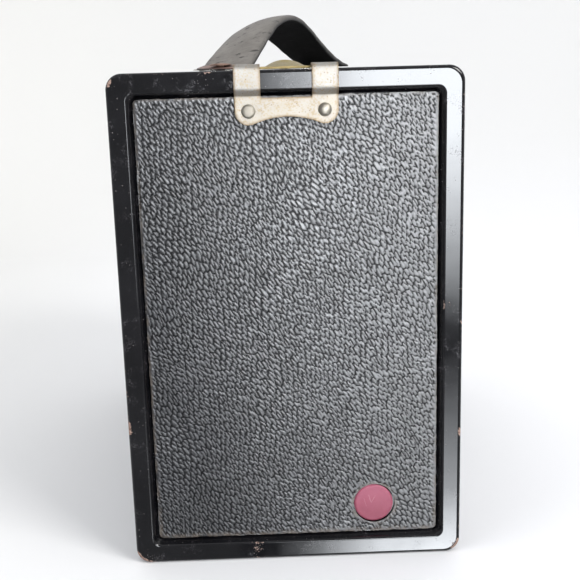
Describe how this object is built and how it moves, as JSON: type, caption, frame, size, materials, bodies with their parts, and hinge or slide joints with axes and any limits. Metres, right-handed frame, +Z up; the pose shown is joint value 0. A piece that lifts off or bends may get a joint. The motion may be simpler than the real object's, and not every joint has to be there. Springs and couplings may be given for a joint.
{
  "type": "box camera",
  "caption": "Upright roll-film box camera with a hinged pressed-steel back, brass latch, ruby window, leather strap, winding key, reflecting finders and rotary shutter.",
  "frame": {"origin": "on the bottom of the camera, midway between its sides and midway between the rear rim and the front rim", "axes": "+Z up, +Y the way the lens looks, +X to the right as the viewer holds the camera, so the hinged back faces -Y"},
  "size_m": [0.0955, 0.1529, 0.1426],
  "materials": {
    "black_enamel": "glossy black baked enamel, worn at the edges",
    "leatherette": "pebbled black leatherette",
    "strap_leather": "worn dark brown to black leather",
    "plated_brass": "pale brass with light tarnish and rust specks",
    "nickel": "dull nickel plate",
    "sheet_steel": "dull rolled steel",
    "blackened_metal": "matt black",
    "glass": "clear glass",
    "ground_glass": "ground glass",
    "mirror": "silvered glass, slightly aged",
    "wood": "plain softwood, dulled",
    "red_celluloid": "translucent ruby celluloid"
  },
  "bodies": {
    "body": {"body_covering": "leatherette", "body_hinge_leaf": "nickel", "body_shell": "sheet_steel", "carrier_cone": "blackened_metal", "carrier_plate_left": "sheet_steel", "carrier_plate_right": "sheet_steel", "disc_pivot_pin": "nickel", "front_covering": "leatherette", "front_frame": "black_enamel", "handle_strap": "strap_leather", "handle_stud_front": "nickel", "handle_stud_rear": "nickel", "hinge_pin": "nickel", "key_escutcheon": "nickel", "latch_catch": "nickel", "lens": "glass", "lens_bezel": "nickel", "lens_cell": "nickel", "lens_retaining_ring": "nickel", "lever_pivot_pin": "nickel", "shutter_base_plate": "blackened_metal", "shutter_board": "wood", "shutter_cover_plate": "blackened_metal", "side_finder_block": "wood", "side_finder_frame": "nickel", "side_finder_lens": "glass", "side_finder_mirror": "mirror", "side_finder_screen": "ground_glass", "supply_pin_left": "nickel", "supply_pin_right": "nickel", "supply_tension_spring": "sheet_steel", "takeup_pin_left": "nickel", "takeup_tension_spring": "sheet_steel", "top_finder_block": "wood", "top_finder_frame": "nickel", "top_finder_lens": "glass", "top_finder_mirror": "mirror", "top_finder_screen": "ground_glass", "tripod_bush_bottom": "nickel", "tripod_bush_side": "nickel"},
    "door": {"back_door": "black_enamel", "door_covering": "leatherette", "red_window": "red_celluloid", "window_retainer": "sheet_steel", "latch_plate": "plated_brass", "latch_rivet_left": "nickel", "latch_rivet_right": "nickel"},
    "latch": {"latch_hasp": "plated_brass"},
    "key_slide": {"key_washer": "nickel"},
    "key": {"winding_key": "nickel"},
    "takeup": {"takeup_spool": "wood"},
    "supply": {"supply_spool": "wood"},
    "roller_top": {"upper_roller": "nickel"},
    "roller_bottom": {"lower_roller": "nickel"},
    "lever": {"shutter_lever": "nickel"},
    "disc": {"shutter_disc": "blackened_metal"},
    "aperture": {"aperture_slide": "nickel"},
    "time": {"time_slide": "nickel"}
  },
  "joints": [
    {"name": "door_hinge", "type": "hinge", "parent": "body", "child": "door", "pos_m": [0, -0.0652, 0.0016], "axis": [1, 0, 0], "range_deg": [0, 100]},
    {"name": "latch_lift", "type": "hinge", "parent": "door", "child": "latch", "pos_m": [0, -0.07515, 0.1283], "axis": [1, 0, 0], "range_deg": [0, 18]},
    {"name": "key_pull", "type": "slide", "parent": "body", "child": "key_slide", "axis": [1, 0, 0], "range_m": [0, 0.008]},
    {"name": "key_turn", "type": "hinge", "parent": "key_slide", "child": "key", "pos_m": [0.043, 0.012, 0.107], "axis": [1, 0, 0], "continuous": true},
    {"name": "takeup_spool_turn", "type": "hinge", "parent": "body", "child": "takeup", "pos_m": [0, 0.012, 0.107], "axis": [1, 0, 0], "continuous": true},
    {"name": "supply_spool_turn", "type": "hinge", "parent": "body", "child": "supply", "pos_m": [0, 0.012, 0.02], "axis": [1, 0, 0], "continuous": true},
    {"name": "roller_top_turn", "type": "hinge", "parent": "body", "child": "roller_top", "pos_m": [0, -0.0645, 0.1207], "axis": [1, 0, 0], "continuous": true},
    {"name": "roller_bottom_turn", "type": "hinge", "parent": "body", "child": "roller_bottom", "pos_m": [0, -0.0645, 0.0063], "axis": [1, 0, 0], "continuous": true},
    {"name": "shutter_lever", "type": "hinge", "parent": "body", "child": "lever", "pos_m": [0.0315, 0.062, 0.046], "axis": [0, -1, 0], "range_deg": [0, 24]},
    {"name": "shutter_disc_swing", "type": "hinge", "parent": "body", "child": "disc", "pos_m": [0, 0.0602, 0.042], "axis": [0, 1, 0], "range_deg": [0, 72]},
    {"name": "aperture_lift", "type": "slide", "parent": "body", "child": "aperture", "axis": [0, 0, 1], "range_m": [0, 0.025]},
    {"name": "time_lift", "type": "slide", "parent": "body", "child": "time", "axis": [0, 0, 1], "range_m": [0, 0.006]}
  ],
  "couplings": [
    {"joint": "key_turn", "follows": "takeup_spool_turn", "ratio": 1},
    {"joint": "shutter_disc_swing", "follows": "shutter_lever", "ratio": 2.9167}
  ]
}
